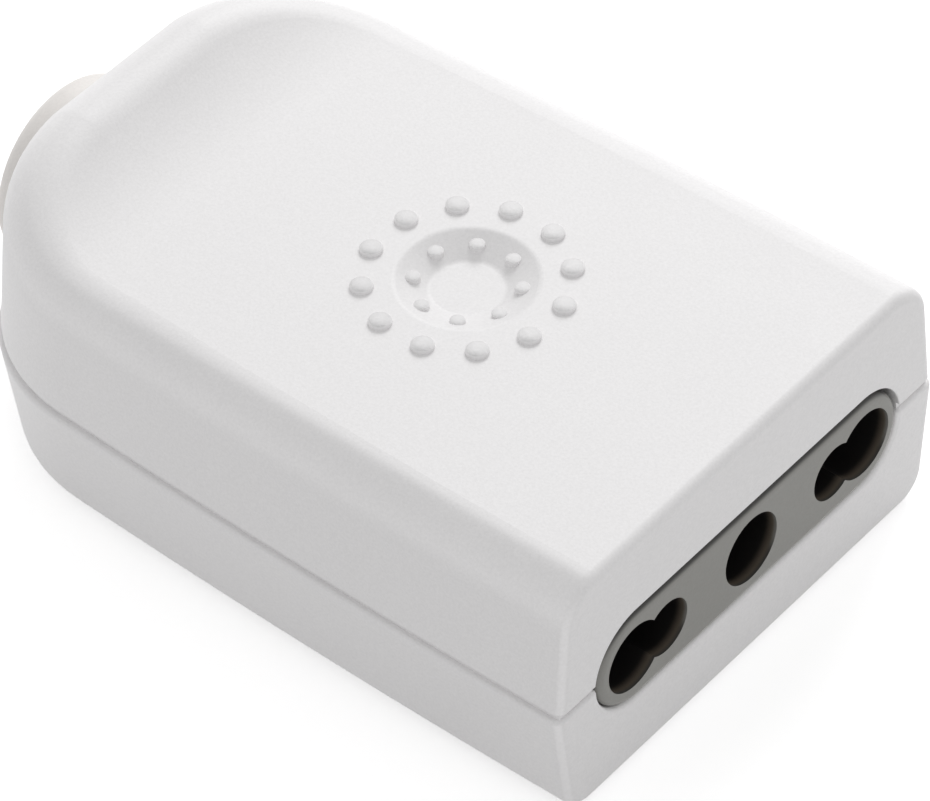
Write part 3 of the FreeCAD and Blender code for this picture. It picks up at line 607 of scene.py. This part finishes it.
class SOCKET_OT_brass(bpy.types.Operator):
    """Finish the contacts and terminals"""

    bl_idname = "socket.brass"
    bl_label = "Contacts and terminals"

    def execute(self, context):
        settings = context.scene.socket_metal
        dress(BRASS_PIECES, metal("contact_brass_finish", settings.brass, settings))
        return {"FINISHED"}


class SOCKET_OT_springs(bpy.types.Operator):
    """Finish the springs round the contacts"""

    bl_idname = "socket.springs"
    bl_label = "Contact springs"

    def execute(self, context):
        settings = context.scene.socket_metal
        dress(SPRING_PIECES, metal("spring_steel_finish", settings.spring, settings))
        return {"FINISHED"}


class SOCKET_OT_screws(bpy.types.Operator):
    """Finish every screw"""

    bl_idname = "socket.screws"
    bl_label = "Screws"

    def execute(self, context):
        settings = context.scene.socket_metal
        dress(SCREW_PIECES, metal("screw_steel_finish", settings.screw, settings))
        return {"FINISHED"}


def facing(azimuth, elevation):
    """Unit vector towards a viewer; azimuth 0 stands in front of the pin holes."""
    flat = math.cos(elevation)
    return Vector((math.sin(azimuth) * flat, -math.cos(azimuth) * flat, math.sin(elevation)))


def seen_from(back, distance, aim):
    """Placement at a distance from an aim, turned to face it."""
    turn = back.to_track_quat("Z", "Y").to_matrix().to_4x4()
    return Matrix.Translation(aim + back * distance) @ turn


def add_camera():
    """Camera at the photograph's angle."""
    data = bpy.data.cameras.new("photo_camera")
    data.sensor_width = SENSOR_WIDTH
    data.lens = VIEW_FOCAL_PIXELS * SENSOR_WIDTH / IMAGE_WIDTH
    data.clip_start = VIEW_CLIP
    camera = bpy.data.objects.new("photo_camera", data)
    bpy.context.scene.collection.objects.link(camera)
    place = seen_from(facing(VIEW_AZIMUTH, VIEW_ELEVATION), VIEW_DISTANCE, VIEW_AIM)
    camera.matrix_world = place @ Matrix.Rotation(VIEW_ROLL, 4, "Z")
    bpy.context.scene.camera = camera


def add_lamp(power):
    """Square soft lamp that faces the socket."""
    data = bpy.data.lights.new("studio_lamp", "AREA")
    data.energy = power
    data.size = LAMP_SIZE
    lamp = bpy.data.objects.new("studio_lamp", data)
    bpy.context.scene.collection.objects.link(lamp)
    lamp.matrix_world = seen_from(facing(LAMP_AZIMUTH, LAMP_ELEVATION), LAMP_DISTANCE, Vector())


def add_floor(colour, glow):
    """Wide pale floor just under the socket, lifted towards white where it is seen or reflected."""
    around = ((-1, -1), (1, -1), (1, 1), (-1, 1))
    corners = [(x * FLOOR_HALF, y * FLOOR_HALF, -FLOOR_DROP) for x, y in around]
    mesh = bpy.data.meshes.new("floor")
    mesh.from_pydata(corners, [], [(0, 1, 2, 3)])
    floor = bpy.data.objects.new("floor", mesh)
    bpy.context.scene.collection.objects.link(floor)
    material = bpy.data.materials.new("floor_paper")
    material.use_nodes = True
    tree = material.node_tree
    shader = tree.nodes["Principled BSDF"]
    shader.inputs["Base Color"].default_value = (*colour, 1.0)
    shader.inputs["Roughness"].default_value = FLOOR_ROUGHNESS
    shader.inputs["Specular IOR Level"].default_value = 0.0
    shader.inputs["Emission Strength"].default_value = 1.0
    rays = add_node(tree, "ShaderNodeLightPath").outputs
    seen = math_of(tree, "ADD", rays["Is Camera Ray"], rays["Is Glossy Ray"])
    seen = math_of(tree, "MINIMUM", math_of(tree, "ADD", seen, rays["Is Transmission Ray"]), 1.0)
    tree.links.new(math_of(tree, "MULTIPLY", seen, glow), shader.inputs["Emission Color"])
    mesh.materials.append(material)


def add_room_light(strength):
    """Even white light from all round."""
    world = bpy.data.worlds.new("studio")
    bpy.context.scene.world = world
    world.use_nodes = True
    background = world.node_tree.nodes["Background"]
    background.inputs["Color"].default_value = (1.0, 1.0, 1.0, 1.0)
    background.inputs["Strength"].default_value = strength


class SOCKET_OT_stage(bpy.types.Operator):
    """Set the floor, the light and the camera"""

    bl_idname = "socket.stage"
    bl_label = "Studio"

    def execute(self, context):
        settings = context.scene.socket_studio
        context.scene.view_settings.view_transform = "Standard"
        add_floor(settings.floor, settings.floor_glow)
        add_room_light(settings.sky)
        add_lamp(settings.lamp)
        add_camera()
        return {"FINISHED"}


class SOCKET_PT_panel(bpy.types.Panel):
    """Settings of the socket and the steps that finish it."""

    bl_idname = "SOCKET_PT_panel"
    bl_label = "In-line socket"
    bl_space_type = "VIEW_3D"
    bl_region_type = "UI"
    bl_category = "Socket"

    def draw(self, context):
        for name, settings in SETTINGS.items():
            box = self.layout.box()
            for setting in settings.__annotations__:
                box.prop(getattr(context.scene, name), setting)
        for operator in OPERATORS:
            self.layout.operator(operator.bl_idname)


OPERATORS = (
    SOCKET_OT_casing,
    SOCKET_OT_insert,
    SOCKET_OT_collar,
    SOCKET_OT_clamp,
    SOCKET_OT_brass,
    SOCKET_OT_springs,
    SOCKET_OT_screws,
    SOCKET_OT_stage,
)
SETTINGS = {
    "socket_plastic": SOCKET_PG_plastic,
    "socket_metal": SOCKET_PG_metal,
    "socket_studio": SOCKET_PG_studio,
}


def register():
    """Add the settings, the operators and the panel."""
    for name, settings in SETTINGS.items():
        bpy.utils.register_class(settings)
        setattr(bpy.types.Scene, name, PointerProperty(type=settings))
    for operator in OPERATORS:
        bpy.utils.register_class(operator)
    bpy.utils.register_class(SOCKET_PT_panel)


def unregister():
    """Take away what register added."""
    bpy.utils.unregister_class(SOCKET_PT_panel)
    for operator in reversed(OPERATORS):
        bpy.utils.unregister_class(operator)
    for name, settings in SETTINGS.items():
        delattr(bpy.types.Scene, name)
        bpy.utils.unregister_class(settings)


def main():
    """Build the whole scene in order."""
    register()
    bpy.ops.socket.casing()
    bpy.ops.socket.insert()
    bpy.ops.socket.collar()
    bpy.ops.socket.clamp()
    bpy.ops.socket.brass()
    bpy.ops.socket.springs()
    bpy.ops.socket.screws()
    bpy.ops.socket.stage()


if __name__ == "__main__":
    main()
